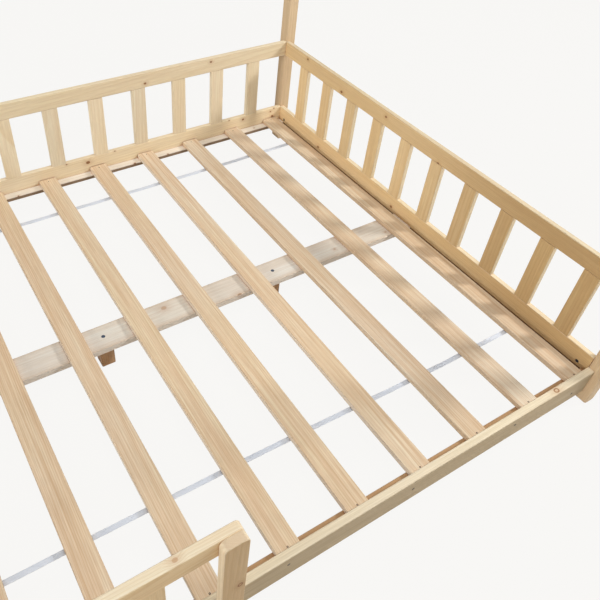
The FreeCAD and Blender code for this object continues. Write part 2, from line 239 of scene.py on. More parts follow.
def make_pine_group():
    """Growth rings, fibres, mottling and sparse knots in a board's own frame.

    Its x runs along the grain. Outputs are 0 to 1. Pith is the ring centre, Bend pushes the rings
    outward, and Clearness is the share of places that could hold a knot and don't.
    """
    group = bpy.data.node_groups.new("pine_board", "ShaderNodeTree")
    for name, kind in (
        ("Position", "NodeSocketVector"),
        ("Pith", "NodeSocketVector"),
        ("Bend", "NodeSocketFloat"),
        ("Clearness", "NodeSocketFloat"),
    ):
        group.interface.new_socket(name, in_out="INPUT", socket_type=kind)
    for name in ("Rings", "Streaks", "Bands", "Fibres", "Mottle", "Warmth", "Knot", "Halo"):
        group.interface.new_socket(
            name, in_out="OUTPUT", socket_type="NodeSocketFloat"
        )
    t = Tree(group)
    source = t.node("NodeGroupInput")
    target = t.node("NodeGroupOutput")
    position = source.outputs["Position"]

    wander = t.scaled_noise(position, WANDER_SCALES, 2.0)
    wander = t.vector("SUBTRACT", wander["Color"], (0.5, 0.5, 0.5))
    wander = t.vector("MULTIPLY", wander, (0.0, WARP_SIZE, WARP_SIZE))
    moved = t.vector("ADD", position, wander)
    along, across, through = t.split(moved)
    pith_across, pith_through = t.split(source.outputs["Pith"])[1:]
    tilt = t.times(along, GRAIN_TILT)
    dy = t.math("SUBTRACT", t.math("ADD", across, tilt), pith_across)
    dz = t.math("SUBTRACT", through, pith_through)
    radius = t.math("SQRT", t.math("ADD", t.times(dy, dy), t.times(dz, dz)))
    radius = t.math("ADD", radius, source.outputs["Bend"])

    angle = t.math("ARCTAN2", dz, dy)
    cell = t.node("ShaderNodeTexVoronoi", voronoi_dimensions="2D", feature="F1")
    cell.inputs["Scale"].default_value = 1.0
    cells_along, cells_round = KNOT_CELLS
    knot_place = t.join(t.times(along, cells_along), t.times(angle, cells_round), 0.0)
    t.put(cell.inputs["Vector"], knot_place)
    chance, size = t.split(cell.outputs["Color"])[:2]
    knot_size = t.ramp(size, 0.0, 1.0, *KNOT_CELL_SIZES, smooth=False)
    present = t.math("GREATER_THAN", chance, source.outputs["Clearness"])
    ratio = t.math("DIVIDE", cell.outputs["Distance"], knot_size)
    knot = t.times(t.ramp(ratio, *KNOT_EDGE), present)
    halo = t.times(t.ramp(ratio, *KNOT_HALO), present)
    radius = t.math("ADD", radius, t.times(halo, KNOT_PUSH))

    growth = t.noise(t.join(t.times(radius, GROWTH_SCALE), 0.0, 0.0), 1.0, 1.0)
    turns = t.math("DIVIDE", radius, RING_SPACING)
    turns = t.math("ADD", turns, t.times(growth["Fac"], GROWTH_SPREAD))
    phase = t.math("FRACT", turns)
    late = t.math("POWER", phase, LATE_POWER)
    late = t.times(late, t.ramp(phase, 1.0, LATE_END))
    ring_scale, along_scale = RING_VARY_SCALES
    vary = t.noise(t.join(t.times(turns, ring_scale), t.times(along, along_scale), 0.0), 1.0, 1.0)
    late = t.times(late, t.ramp(vary["Fac"], 0.25, 0.75, *RING_STRENGTHS))

    streaks = t.scaled_noise(moved, STREAK_SCALES, 3.0, 0.6)
    bands = t.scaled_noise(moved, BAND_SCALES, 2.0, 0.6)
    fibres = t.scaled_noise(moved, FIBRE_SCALES, 2.0, 0.6)
    mottle = t.scaled_noise(position, MOTTLE_SCALES, 3.0, 0.55)
    warmth = t.scaled_noise(position, WARMTH_SCALES, 1.0)
    for name, value in (
        ("Rings", late),
        ("Streaks", t.ramp(streaks["Fac"], 0.25, 0.75)),
        ("Bands", t.ramp(bands["Fac"], 0.35, 0.68)),
        ("Fibres", t.ramp(fibres["Fac"], 0.25, 0.75)),
        ("Mottle", t.ramp(mottle["Fac"], 0.30, 0.70)),
        ("Warmth", t.ramp(warmth["Fac"], 0.32, 0.68)),
        ("Knot", knot),
        ("Halo", halo),
    ):
        t.put(target.inputs[name], value)
    return group


PALE = (235, 221, 197)
LATE = (216, 190, 154)
PINK = (226, 204, 180)
GOLD = (230, 210, 177)
STREAK = (208, 185, 156)
KNOT_STRETCH = 0.78
KNOT_RIM = (178, 128, 84)
KNOT_CORE = (112, 72, 44)
END_GRAIN = (208, 180, 148)
EDGE_HIGHLIGHT = (240, 229, 209)
CONTACT_SHADE_BROWN = (196, 132, 84)
LIT_SIDE_FACING = (-0.7, -0.7, 0.0)
GAP_SHADOW_BROWN = (0.22, 0.12, 0.06)

# How strongly each of these colours covers the wood's own.
END_GRAIN_SHARE = 0.55
HALO_SHARE = 0.22
BENT_GRAIN_SHARE = 0.30
KNOT_RIM_SHARE = 0.75
KNOT_CORE_SHARE = 0.7
EDGE_HIGHLIGHT_SHARE = 0.35
RIM_SHARE = 0.45
LIT_SIDE_SHARE = 0.8

TO_LEFT = (-1.0, 0.0, 0.0)
TO_FRONT = (0.0, -1.0, 0.0)

# A clearness above 1 leaves no place for a knot by chance.
NO_CHANCE_KNOTS = 1.1

# What a board has unless its own look says otherwise.
PLAIN_LOOK = {
    "pale": PALE,
    "gold": GOLD,
    "pink": PINK,
    "late": LATE,
    "streak": STREAK,
    "pinkness": 0.55,
    "bands": 0.4,
    "streaks": 0.42,
    "rings": 0.75,
    "clearness": 0.93,
    # Painted shade: how strongly the wood darkens near other parts, and within what reach in metres.
    "contact": 0.55,
    "reach": 0.014,
    "middle": (0.0, 0.0),
}

# How far a board's texture is shifted, and where its ring centre lies, in metres.
BOARD_SHIFT = (9.0, 0.01, 0.01)
ROW_SPREAD = (7.0, 0.05, 0.03)
PITH_ACROSS = 0.022
PITH_DEPTH = (0.028, 0.075)
BEND_REACH = 0.008

# How much cooler or warmer one board may be than the next.
WARMTH_DRIFT = (-0.03, 0.05)

# Tones of the fibres in a board, and of the boards in a row.
FIBRE_TONES = (0.93, 1.04)
BOARD_TONES = (0.93, 1.03)

# A placed knot, as shares of its radius: how far it bends the rings, where it is full, and where
# a ring's paler middle ends. The last two are the strengths of a faint knot and of that middle.
KNOT_BEND = 3.6
KNOT_FULL = 0.6
RING_HOLE = (0.35, 0.65)
FAINT_SHARE = 0.3
RING_MIDDLE_SHARE = 0.15

# Rounded edges, which the bevel softens and lightens with a painted highlight, the strip along
# a board's rim, and how soft the border of the painted gap shadow is.
EDGE_RADIUS = 0.0022
EDGE_SAMPLES = 4
RIM_STRIP = 0.014
GAP_SHADOW_BLUR = 0.0015

# Where the tint of shaded faces turns from far to near, along Y.
SHADE_FAR_END, SHADE_NEAR_END = 0.10, -0.50

# Fibres are rougher than this, and late wood is smoother.
WOOD_ROUGHNESS = 0.60
FIBRES_ROUGHER, RINGS_SMOOTHER = 0.10, 0.06
WOOD_SPECULAR = 0.25
WOOD_BUMP = 0.22
WOOD_BUMP_DEPTH = 0.0005


def grain_axes(grain):
    """The direction along the grain, and the two across it. grain is an axis or a direction."""
    if isinstance(grain, tuple):
        direction = Vector(grain).normalized()
    else:
        direction = Vector({"x": (1, 0, 0), "y": (0, 1, 0), "z": (0, 0, 1)}[grain])
    side = Vector((0, 0, 1)) if abs(direction.z) < 0.9 else Vector((1, 0, 0))
    cross = side.cross(direction).normalized()
    return direction, cross, direction.cross(cross)


def pine(name, grain, seed, knots, pitch, tone, look):
    """A pine material for one board or one row of boards.

    pitch is (axis, spacing, start) for a row of separate boards, or None. knots are (centre,
    radius, kind) in millimetres, kind being "dot", "ring" or "faint". tone multiplies the colours;
    on some boards it is painted light, and on others painted shade. look is a dict that takes its
    missing keys from PLAIN_LOOK. Besides grain and knots, the colour holds a painted highlight on
    edges and painted shade near other parts, and the look can paint shade on faces turned one way.
    """
    chance = random.Random(seed)
    look = dict(PLAIN_LOOK, **look)
    material, t, shader = new_material(name)
    place = t.node("ShaderNodeTexCoord").outputs["Object"]
    direction, cross, up = grain_axes(grain)
    along = t.vector("DOT_PRODUCT", place, tuple(direction))
    across = t.vector("DOT_PRODUCT", place, tuple(cross))
    through = t.vector("DOT_PRODUCT", place, tuple(up))
    board = t.join(along, across, through)
    shift = tuple(chance.uniform(-reach, reach) for reach in BOARD_SHIFT)
    board = t.vector("ADD", board, shift)
    if pitch:
        axis, spacing, start = pitch
        value = t.split(place)["XYZ".index(axis)]
        index = t.math("FLOOR", t.math("DIVIDE", t.math("SUBTRACT", value, start), spacing))
        white = t.node("ShaderNodeTexWhiteNoise", noise_dimensions="1D")
        t.put(white.inputs["W"], t.math("ADD", index, float(seed)))
        spread = t.vector("SUBTRACT", white.outputs["Color"], (0.5, 0.5, 0.5))
        board_tone = white.outputs["Value"]
        board = t.vector("ADD", board, t.vector("MULTIPLY", spread, ROW_SPREAD))
    else:
        board_tone = None
    middle = look["middle"]
    pith = (
        0.0,
        middle[0] + chance.uniform(-PITH_ACROSS, PITH_ACROSS),
        middle[1] - chance.uniform(*PITH_DEPTH) * chance.choice((1, 1, -1)),
    )
    bend = None
    marks = None
    for centre, radius, kind in knots:
        offset = t.vector("SUBTRACT", place, tuple(v * MM for v in centre))
        lengthwise = t.vector("DOT_PRODUCT", offset, tuple(direction))
        lengthwise = t.times(lengthwise, KNOT_STRETCH - 1.0)
        offset = t.vector("ADD", offset, t.scaled(tuple(direction), lengthwise))
        away = t.vector("LENGTH", offset)
        size = radius * MM
        near = t.ramp(away, size * KNOT_BEND, 0.0)
        spot = t.ramp(away, size, size * KNOT_FULL)
        if kind == "faint":
            spot = t.times(spot, FAINT_SHARE)
        if kind == "ring":
            inner, outer = (size * share for share in RING_HOLE)
            spot = t.times(spot, t.ramp(away, inner, outer, RING_MIDDLE_SHARE))
        bend = near if bend is None else t.math("MAXIMUM", bend, near)
        marks = spot if marks is None else t.math("MAXIMUM", marks, spot)
    group = t.node("ShaderNodeGroup", node_tree=bpy.data.node_groups["pine_board"])
    t.put(group.inputs["Position"], board)
    group.inputs["Pith"].default_value = pith
    group.inputs["Clearness"].default_value = look["clearness"]
    if bend is not None:
        t.put(group.inputs["Bend"], t.times(bend, BEND_REACH))
    out = group.outputs

    def tinted(rgb, warmer=0.0):
        r, g, b, a = linear(rgb)
        shares = (1.0, 1 - warmer * 0.5, 1 - warmer)
        return tuple(min(v * tone * share, 1.0) for v, share in zip((r, g, b), shares)) + (a,)

    drift = chance.uniform(*WARMTH_DRIFT)
    colour = t.mix(out["Warmth"], tinted(look["pale"], drift), tinted(look["gold"], drift))
    colour = t.mix(t.times(out["Mottle"], look["pinkness"]), colour, tinted(look["pink"]))
    colour = t.mix(t.times(out["Bands"], look["bands"]), colour, tinted(look["pink"]))
    colour = t.mix(t.times(out["Rings"], look["rings"]), colour, tinted(look["late"], drift))
    streaky = t.times(t.math("SUBTRACT", 1.0, out["Streaks"]), look["streaks"])
    colour = t.mix(streaky, colour, tinted(look["streak"]))
    fine = t.ramp(out["Fibres"], 0.0, 1.0, *FIBRE_TONES, smooth=False)
    colour = t.mix(1.0, colour, t.join(fine, fine, fine), "MULTIPLY")
    if board_tone is not None:
        vary = t.ramp(board_tone, 0.0, 1.0, *BOARD_TONES, smooth=False)
        colour = t.mix(1.0, colour, t.join(vary, vary, vary), "MULTIPLY")

    normal = t.node("ShaderNodeTexCoord").outputs["Normal"]
    end = t.math("ABSOLUTE", t.vector("DOT_PRODUCT", normal, tuple(direction)))
    end = t.ramp(end, 0.75, 0.95)
    colour = t.mix(t.times(end, END_GRAIN_SHARE), colour, tinted(END_GRAIN))

    halo = t.times(out["Halo"], HALO_SHARE)
    if bend is not None:
        halo = t.math("MAXIMUM", halo, t.times(bend, BENT_GRAIN_SHARE))
    colour = t.mix(halo, colour, tinted(KNOT_RIM))
    knot = out["Knot"] if marks is None else t.math("MAXIMUM", out["Knot"], marks)
    rim = t.ramp(knot, 0.0, 0.5)
    core = t.ramp(knot, 0.4, 1.0)
    colour = t.mix(t.times(rim, KNOT_RIM_SHARE), colour, tinted(KNOT_RIM))
    colour = t.mix(t.times(core, KNOT_CORE_SHARE), colour, tinted(KNOT_CORE))

    # Painted highlight: the colour turns paler where the bevel bends the normal at rounded edges.
    soft = t.node("ShaderNodeBevel", samples=EDGE_SAMPLES)
    soft.inputs["Radius"].default_value = EDGE_RADIUS
    flat = t.node("ShaderNodeNewGeometry").outputs["Normal"]
    edge_highlight = t.vector("DOT_PRODUCT", soft.outputs["Normal"], flat)
    edge_highlight = t.ramp(edge_highlight, 0.995, 0.80)
    colour = t.mix(t.times(edge_highlight, EDGE_HIGHLIGHT_SHARE), colour, tinted(EDGE_HIGHLIGHT))
    if "rim" in look:
        rim_middle, rim_half = look["rim"]
        off = t.math("ABSOLUTE", t.math("SUBTRACT", t.split(place)[1], rim_middle))
        near_rim = t.ramp(off, rim_half - RIM_STRIP, rim_half)
        colour = t.mix(t.times(near_rim, RIM_SHARE), colour, tinted(look["rim_colour"]))
    # Painted light: faces turned to the left and front are made paler, towards the side colour.
    if "side" in look:
        facing = t.vector("DOT_PRODUCT", normal, LIT_SIDE_FACING)
        colour = t.mix(t.ramp(facing, 0.5, 0.95, 0.0, LIT_SIDE_SHARE), colour, tinted(look["side"]))
    # Painted shade: faces turned one way are darkened by a tint that changes from the back to the front.
    if "shade" in look:
        toward, far_tint, near_tint = look["shade"]
        near_end = t.ramp(t.split(place)[1], SHADE_FAR_END, SHADE_NEAR_END)
        tint = t.mix(near_end, far_tint + (1.0,), near_tint + (1.0,))
        facing = t.vector("DOT_PRODUCT", normal, toward)
        colour = t.mix(t.ramp(facing, 0.5, 0.95), colour, tint, "MULTIPLY")
    # Painted shadow: faces turned to the left are darkened below the given height, where the last slat
    # shades the rail beside it.
    if "gap_shadow_below" in look:
        edge_height = look["gap_shadow_below"]
        in_gap_shadow = t.ramp(t.split(place)[2], edge_height + GAP_SHADOW_BLUR, edge_height - GAP_SHADOW_BLUR)
        facing = t.math("GREATER_THAN", t.vector("DOT_PRODUCT", normal, TO_LEFT), 0.5)
        colour = t.mix(t.times(in_gap_shadow, facing), colour, GAP_SHADOW_BROWN + (1.0,), "MULTIPLY")
    # Painted shade: the wood turns darker brown where other parts stand within the look's reach.
    near_parts_shade = t.ramp(t.openness(look["reach"]), 0.62, 0.18)
    colour = t.mix(t.times(near_parts_shade, look["contact"]), colour, linear(CONTACT_SHADE_BROWN), "MULTIPLY")
    t.put(shader.inputs["Base Color"], colour)

    rough = t.math("ADD", t.times(out["Fibres"], FIBRES_ROUGHER), WOOD_ROUGHNESS)
    rough = t.math("SUBTRACT", rough, t.times(out["Rings"], RINGS_SMOOTHER))
    t.put(shader.inputs["Roughness"], rough)
    shader.inputs["Specular IOR Level"].default_value = WOOD_SPECULAR

    height = t.math("ADD", t.times(out["Rings"], 0.5), t.times(out["Fibres"], 0.5))
    height = t.math("SUBTRACT", height, t.times(knot, 0.6))
    t.bump(shader, height, WOOD_BUMP, WOOD_BUMP_DEPTH, soft.outputs["Normal"])
    return material


# ---------------------------------------------------------------- metal and webbing

CLOUD_SCALE = 420.0
SCRATCH_SCALES = (900.0, 2600.0, 900.0)
METALNESS = 0.9


def metal(name, rgb, rough, wear_rgb):
    """Metal with cloudy wear and fine scratches. rgb and wear_rgb are sRGB colours."""
    material, t, shader = new_material(name)
    place = t.node("ShaderNodeTexCoord").outputs["Object"]
    cloud = t.noise(place, CLOUD_SCALE, 3.0)["Fac"]
    scratch = t.scaled_noise(place, SCRATCH_SCALES, 2.0)["Fac"]
    colour = t.mix(t.ramp(cloud, 0.4, 0.7), linear(rgb), linear(wear_rgb))
    t.put(shader.inputs["Base Color"], colour)
    shader.inputs["Metallic"].default_value = METALNESS
    t.put(shader.inputs["Roughness"], t.ramp(cloud, 0.2, 0.8, rough - 0.08, rough + 0.1))
    t.bump(shader, scratch, 0.12, 0.0003)
    return material


WEB_PALE = (234, 238, 245)
WEB_DARK = (202, 209, 221)
WEB_SHADE = (150, 150, 152)
WARP_PITCH = 0.0018
WEFT_PITCH = 0.0026
WEB_SHADE_REACH = 0.016
FUZZ_SCALES = (300.0, 900.0, 900.0)
STAIN_SCALES = (9.0, 60.0, 60.0)


def webbing(name):
    """Woven tape whose length runs along X."""
    material, t, shader = new_material(name)
    place = t.node("ShaderNodeTexCoord").outputs["Object"]
    x, y = t.split(place)[:2]
    warp = t.math("SINE", t.times(y, 2 * math.pi / WARP_PITCH))
    weft = t.math("SINE", t.times(x, 2 * math.pi / WEFT_PITCH))
    weave = t.ramp(t.times(warp, weft), -1.0, 1.0)
    fuzz = t.scaled_noise(place, FUZZ_SCALES, 2.0)["Fac"]
    stain = t.scaled_noise(place, STAIN_SCALES, 2.0)["Fac"]
    colour = t.mix(weave, linear(WEB_DARK), linear(WEB_PALE))
    colour = t.mix(t.ramp(stain, 0.4, 0.7, 0.0, 0.35), colour, linear(WEB_DARK))
    shaded = t.ramp(t.openness(WEB_SHADE_REACH), 0.85, 0.45, 0.0, 0.6)
    colour = t.mix(shaded, colour, linear(WEB_SHADE))
    t.put(shader.inputs["Base Color"], colour)
    t.put(shader.inputs["Roughness"], t.ramp(fuzz, 0.2, 0.8, 0.72, 0.92))
    shader.inputs["Sheen Weight"].default_value = 0.2
    t.bump(shader, t.math("ADD", weave, t.times(fuzz, 0.4)), 0.6, 0.0004)
    return material


# ---------------------------------------------------------------- finishes for the CAD nodes


def shade(toward, far_tint, near_tint=None):
    """Painted shade: tints that darken the faces turned one way, at the back and at the front of the
    bed.
    """
    return toward, far_tint, near_tint or far_tint


# Colours are sRGB. "rim" is the middle and half width, along Y, of a board with darker rims.
# "side" is a paler colour, painted light on faces turned to the left and front. The gap height
# is the height under which a face turned to the left gets a painted shadow, dark as the gap
# beside the last slat is.
SLAT_LOOK = {
    "pale": (244, 233, 211),
    "gold": (240, 223, 190),
    "pink": (230, 202, 170),
    "late": (204, 164, 122),
    "streak": (200, 164, 124),
    "pinkness": 0.45,
    "streaks": 0.6,
    "bands": 0.6,
    "contact": 0.9,
}
LIT_SIDE_SLAT_LOOK = dict(SLAT_LOOK, side=(250, 248, 242))
BEAM_LOOK = {
    "pale": (244, 241, 233),
    "gold": (241, 234, 219),
    "pink": (230, 212, 194),
    "late": (226, 211, 191),
    "streak": (219, 203, 183),
    "pinkness": 0.45,
    "streaks": 0.6,
    "clearness": NO_CHANCE_KNOTS,
    "rim": (-0.006, 0.039),
    "rim_colour": (206, 180, 152),
    "reach": 0.028,
    "contact": 0.7,
    # Painted light on the beam's faces turned to the left and front.
    "side": (250, 248, 242),
}
FENCE_LOOK = {
    "pale": (241, 230, 204),
    "gold": (239, 223, 188),
    "pink": (234, 214, 184),
    "late": (220, 196, 156),
    "streak": (214, 190, 154),
}
RIGHT_LOOK = {
    "pale": (240, 227, 198),
    "gold": (237, 220, 182),
    "pink": (231, 210, 177),
    "late": (216, 190, 149),
    "streak": (210, 184, 147),
    "shade": shade(TO_LEFT, (0.98, 0.88, 0.72), (0.70, 0.57, 0.40)),
    "contact": 0.8,
}
# Painted shadow low on the rail's face turned to the left, beside the last slat.
RIGHT_LOW_LOOK = dict(RIGHT_LOOK, gap_shadow_below=0.0905)
POST_LOOK = {
    "pale": (214, 192, 161),
    "gold": (211, 185, 148),
    "pink": (204, 176, 141),
    "late": (190, 160, 122),
    "streak": (184, 154, 118),
}
RAIL_LOOK = {
    "pale": (243, 231, 207),
    "gold": (240, 225, 194),
    "pink": (234, 216, 186),
    "late": (216, 198, 164),
    "streak": (208, 190, 158),
    "pinkness": 0.4,
    "streaks": 0.6,
    "shade": shade(TO_FRONT, (0.60, 0.54, 0.46)),
}
END_POST_LOOK = dict(FENCE_LOOK, shade=shade(TO_FRONT, (0.72, 0.60, 0.46)))
# Painted shade: the legs stand in shadow under the bed, so they are given a darker brown.
SHADED_LEG_LOOK = {
    "pale": (186, 142, 94),
    "gold": (176, 128, 80),
    "pink": (168, 122, 80),
    "late": (150, 104, 62),
}
LEDGER_LOOK = {
    "pale": (242, 238, 229),
    "gold": (238, 231, 216),
    "pink": (233, 222, 207),
    "late": (224, 212, 194),
    "streak": (214, 200, 182),
    "streaks": 0.6,
    "clearness": NO_CHANCE_KNOTS,
    "shade": shade(TO_FRONT, (0.34, 0.25, 0.18)),
}
# Painted shade: the front ledger lies in shadow between the slats and the front rail, so it is given a
# darker brown than the back one.
SHADED_FRONT_LEDGER_LOOK = {
    "pale": (196, 162, 122),
    "gold": (188, 152, 111),
    "pink": (182, 144, 104),
    "late": (164, 126, 88),
    "streak": (160, 123, 87),
}
FRONT_LOOK = dict(FENCE_LOOK, shade=shade(TO_FRONT, (0.92, 0.79, 0.62)))

RAFTER_SLOPE = math.radians(38.0)

# (centre, radius, kind), in millimetres.
KNOTS = {
    "right_low_rail": [((1010, 450, 105), 5, "dot"), ((1010, 52, 106), 5, "dot")],
    "right_top_rail": [
        ((1010, 568, 385), 4, "dot"),
        ((1010, 374, 356), 5, "dot"),
        ((1010, 158, 375), 4, "dot"),
        ((1010, -77, 347), 4, "dot"),
    ],
    "back_low_rail": [
        ((242, 700, 126), 6.5, "dot"),
        ((845, 700, 130), 4.5, "dot"),
        ((975, 700, 111), 4.5, "dot"),
        ((966, 700, 132), 3, "dot"),
        ((981, 700, 142.5), 3, "dot"),
        ((339, 700, 142), 2.5, "dot"),
        ((785, 700, 141), 2.5, "dot"),
        ((170, 700, 140), 2.5, "dot"),
    ],
    "back_top_rail": [((463.5, 700, 359), 4, "dot"), ((706, 700, 382), 4, "dot")],
    "back_ledger": [
        ((-6, 673, 92), 3, "dot"),
        ((125, 673, 92), 3, "dot"),
        ((396, 673, 92), 4, "dot"),
        ((522, 673, 92), 3, "dot"),
        ((886, 684, 92), 2.5, "dot"),
    ],
    "middle_beam": [
        ((384, -45, 88), 8, "dot"),
        ((179, 10, 92), 8, "faint"),
        ((775, 20, 92), 3, "dot"),
        ((733, -16, 92), 4, "faint"),
        ((923, -27, 92), 4, "faint"),
    ],
    "front_fence_end_post": [((-39, -738, 195.5), 6.5, "ring")],
    "front_low_rail": [((877, -709, 112), 7.5, "ring")],
    "front_top_rail": [((-146, -709, 363), 5, "faint")],
}

OTHER_SLATS_TONE = 0.95
# Painted light and shade per board: boards above 1 are paler, standing in for light the lamps don't
# give, and boards below 1 are darker, standing in for shade.
BOARD_LIGHT_TONES = {
    "slat_01": 0.87,
    "slat_02": 0.90,
    "slat_03": 0.91,
    "middle_beam": 0.90,
    "back_low_rail": 1.06,
    "back_balusters": 1.07,
    "back_top_rail": 0.99,
    "right_top_rail": 0.92,
    "right_low_rail": 1.08,
    "post_back_right": 1.10,
    "front_top_rail": 1.04,
}

BACK_PITCH = 0.1466
BACK_LAST_BALUSTER = 0.8795
SIDE_PITCH = 0.131
SIDE_LAST_BALUSTER = 0.5825
BAYS_BEFORE_LAST = 12


def row_of(axis, pitch, last):
    """A row of boards: its axis, their spacing, and the place where the first one's bay starts."""
    return axis, pitch, last - pitch / 2 - BAYS_BEFORE_LAST * pitch


ROWS = {
    "back_balusters": row_of("X", BACK_PITCH, BACK_LAST_BALUSTER),
    "right_balusters": row_of("Y", SIDE_PITCH, SIDE_LAST_BALUSTER),
    "left_balusters": row_of("Y", SIDE_PITCH, SIDE_LAST_BALUSTER),
}

ALONG_Y = ("right_low_rail", "right_top_rail", "left_low_rail", "left_top_rail")
UPRIGHT = ("post", "leg_", "front_baluster", "front_fence_end")


def grain_of(name):
    """The axis or direction that a node's grain runs along."""
    if name.startswith("rafter_front"):
        return (0.0, math.cos(RAFTER_SLOPE), math.sin(RAFTER_SLOPE))
    if name.startswith("rafter_back"):
        return (0.0, -math.cos(RAFTER_SLOPE), math.sin(RAFTER_SLOPE))
    if name.startswith("slat") or name in ALONG_Y:
        return "y"
    if name.startswith(UPRIGHT) or "balusters" in name:
        return "z"
    return "x"


LOOKS = {
    "front_ledger": SHADED_FRONT_LEDGER_LOOK,
    "back_ledger": LEDGER_LOOK,
    "slat_01": SLAT_LOOK,
    "slat_02": SLAT_LOOK,
    "slat_03": SLAT_LOOK,
    "middle_beam": BEAM_LOOK,
    "right_low_rail": RIGHT_LOW_LOOK,
    "front_fence_end_post": END_POST_LOOK,
    "front_low_rail": RAIL_LOOK,
}
LOOKS_BY_START = {
    "slat": LIT_SIDE_SLAT_LOOK,
    "leg_": SHADED_LEG_LOOK,
    "right": RIGHT_LOOK,
    "post": POST_LOOK,
    "front": FRONT_LOOK,
}


def look_of(name):
    """The look of one node: its own, or that of nodes whose names start the same way."""
    if name in LOOKS:
        return LOOKS[name]
    for start, look in LOOKS_BY_START.items():
        if name.startswith(start):
            return look
    return FENCE_LOOK


def board_middle(name, grain):
    """The board's centre in its own cross-grain frame."""
    low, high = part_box(name)
    centre = (Vector(low) + Vector(high)) / 2
    _, cross, up = grain_axes(grain)
    return (centre.dot(cross), centre.dot(up))


def dress(node, material):
    """Give a node one material."""
    slots = node.data.materials
    slots.clear()
    slots.append(material)


FIRST_SEED = 11


def dress_all():
    """Dress every carried-over node but the straps, and return the metal that the scene's own screws
    share.
    """
    steel = metal("steel", (196, 196, 192), 0.34, (168, 168, 166))
    dark_steel = metal("dark_steel", (58, 54, 54), 0.45, (40, 37, 37))
    blue_steel = metal("blue_steel", (86, 98, 116), 0.40, (60, 68, 82))
    metals = {
        "joint_bolts": steel,
        "barrel_nuts": dark_steel,
        "leg_bolts": blue_steel,
    }
    for seed, name in enumerate(sorted(nodes)):
        if name.startswith("strap"):
            continue
        if name in metals:
            dress(nodes[name], metals[name])
            continue
        grain = grain_of(name)
        look = dict(look_of(name))
        tone = BOARD_LIGHT_TONES.get(name, OTHER_SLATS_TONE if name.startswith("slat") else 1.0)
        if name not in ROWS:
            look["middle"] = board_middle(name, grain)
        if name in KNOTS:
            look.setdefault("clearness", NO_CHANCE_KNOTS)
        material = pine(
            "pine_" + name,
            grain,
            seed + FIRST_SEED,
            KNOTS.get(name, ()),
            ROWS.get(name),
            tone,
            look,
        )
        dress(nodes[name], material)
    return dark_steel


# ---------------------------------------------------------------- screws and straps


def new_object(name, mesh, material):
    obj = bpy.data.objects.new(name, mesh)
    bpy.context.collection.objects.link(obj)
    mesh.materials.append(material)
    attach(obj, "root")
    return obj


def join_rings(bm, a, b):
    """Faces between two closed rings of as many points."""
    for i in range(len(a)):
        j = (i + 1) % len(a)
        bm.faces.new((a[i], a[j], b[j], b[i]))


def finished_mesh(bm, name):
    """A mesh from bm, with its faces turned outward."""
    bmesh.ops.recalc_face_normals(bm, faces=bm.faces)
    mesh = bpy.data.meshes.new(name)
    bm.to_mesh(mesh)
    bm.free()
    return mesh


HEAD_SIDES = 24

# A screw head's rings, as shares of its radius with heights in metres over the wood.
SKIRT = (0.86, -0.0012)
RIM = (1.0, -0.0001)
CROWN = (0.93, 0.00012)
DOME = (0.72, 0.00022)

# Its cross recess: shares of the radius, then heights in metres.
RECESS_ARM, RECESS_HALF_WIDTH, RECESS_TAPER = 0.62, 0.15, 0.8
RECESS_TOP, RECESS_FLOOR = 0.00024, -0.0009


def add_screw(bm, centre, facing, turn, radius):
    """A countersunk head with a cross recess. facing is the way it looks out of the wood."""
    facing_turn = Vector((0, 0, 1)).rotation_difference(Vector(facing)).to_matrix().to_4x4()
    place = Matrix.Translation(centre) @ facing_turn @ Matrix.Rotation(turn, 4, "Z")

    def at(x, y, z):
        return bm.verts.new(place @ Vector((x, y, z)))

    def ring(share, z):
        step = 2 * math.pi / HEAD_SIDES
        size = radius * share
        return [at(size * math.cos(step * i), size * math.sin(step * i), z) for i in range(HEAD_SIDES)]

    arm, half = radius * RECESS_ARM, radius * RECESS_HALF_WIDTH
    outline = []
    for quarter in range(4):
        cos, sin = math.cos(quarter * math.pi / 2), math.sin(quarter * math.pi / 2)
        for x, y in ((arm, -half), (arm, half), (half, half)):
            outline.append((x * cos - y * sin, x * sin + y * cos))
    skirt, rim, crown, dome = (ring(*shape) for shape in (SKIRT, RIM, CROWN, DOME))
    lip = [at(x, y, RECESS_TOP) for x, y in outline]
    floor = [at(x * RECESS_TAPER, y * RECESS_TAPER, RECESS_FLOOR) for x, y in outline]
    for a, b in ((skirt, rim), (rim, crown), (crown, dome)):
        join_rings(bm, a, b)
    for i in range(len(lip)):
        j = (i + 1) % len(lip)
        first, second, third = ((2 * i + k) % HEAD_SIDES for k in (-1, 0, 1))
        bm.faces.new((dome[first], dome[second], lip[i]))
        bm.faces.new((dome[second], dome[third], lip[j], lip[i]))
        bm.faces.new((lip[i], lip[j], floor[j], floor[i]))
    bm.faces.new(floor)


def screws(name, places, facing, material, radius):
    """One piece of all the screw heads at places, in millimetres."""
    chance = random.Random(len(places) * 7 + len(name))
    bm = bmesh.new()
    for x, y, z in places:
        add_screw(bm, (x * MM, y * MM, z * MM), facing, chance.uniform(0, math.pi), radius)
    return new_object(name, finished_mesh(bm, name), material)


def slat_names():
    return sorted(name for name in nodes if name.startswith("slat_"))


def slat_middles():
    """The places of the slats along X."""
    return [(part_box(name)[0][0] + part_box(name)[1][0]) / 2 for name in slat_names()]


STRAP_THICK = 0.0011
STRAP_SAG = 0.0008
STRAP_CLEARANCE = 0.0001
STRAP_END_MARGIN = 0.001
SAG_STEPS = 8
BACK_STRAP_WIDTH = 0.0140
FRONT_STRAP_WIDTH = 0.0122
# Places across the width, as shares of it, and how far down they lie, as shares of the thickness.
STRAP_PROFILE = (
    (-0.5, 0.25),
    (-0.46, 0.0),
    (-0.2, -0.04),
    (0.0, 0.0),
    (0.2, -0.04),
    (0.46, 0.0),
    (0.5, 0.25),
)
